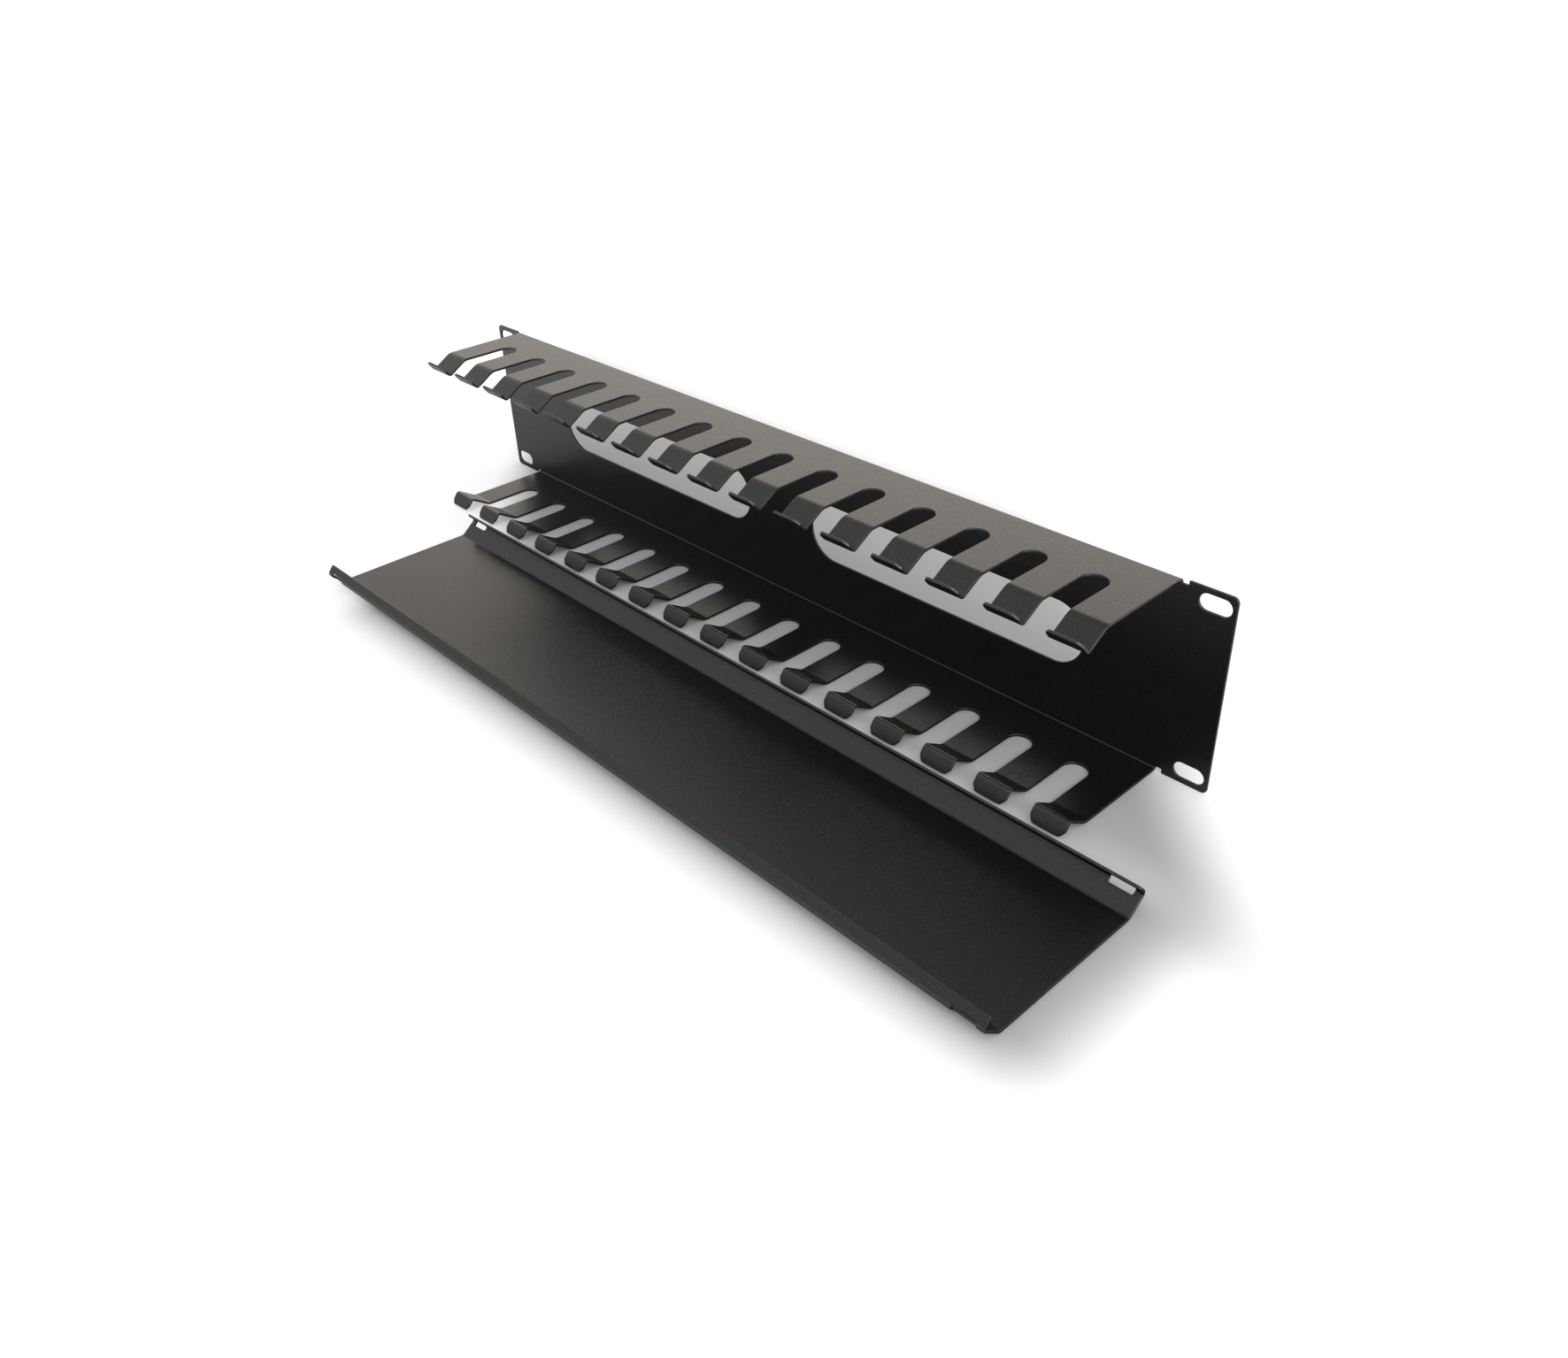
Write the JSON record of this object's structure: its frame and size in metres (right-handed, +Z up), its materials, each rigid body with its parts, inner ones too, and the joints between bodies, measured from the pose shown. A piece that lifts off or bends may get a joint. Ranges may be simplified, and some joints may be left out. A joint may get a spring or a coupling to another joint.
{
  "type": "horizontal cable manager",
  "caption": "Horizontal cable manager for a 19-inch rack: a folded finger duct with ears and cable windows, and its clip-on cover lying beside it.",
  "frame": {"origin": "middle of the box around both sheets, at the surface that they lie on", "axes": "+X along the rack's width, to the right seen from the front; the fingers point along -Y; +Z up"},
  "size_m": [0.5012, 0.1606, 0.0881],
  "materials": {
    "powder_coated_steel": "satin black powder coat with a fine texture"
  },
  "bodies": {
    "root": {"finger_duct": "powder_coated_steel", "snap_cover": "powder_coated_steel"}
  },
  "joints": []
}
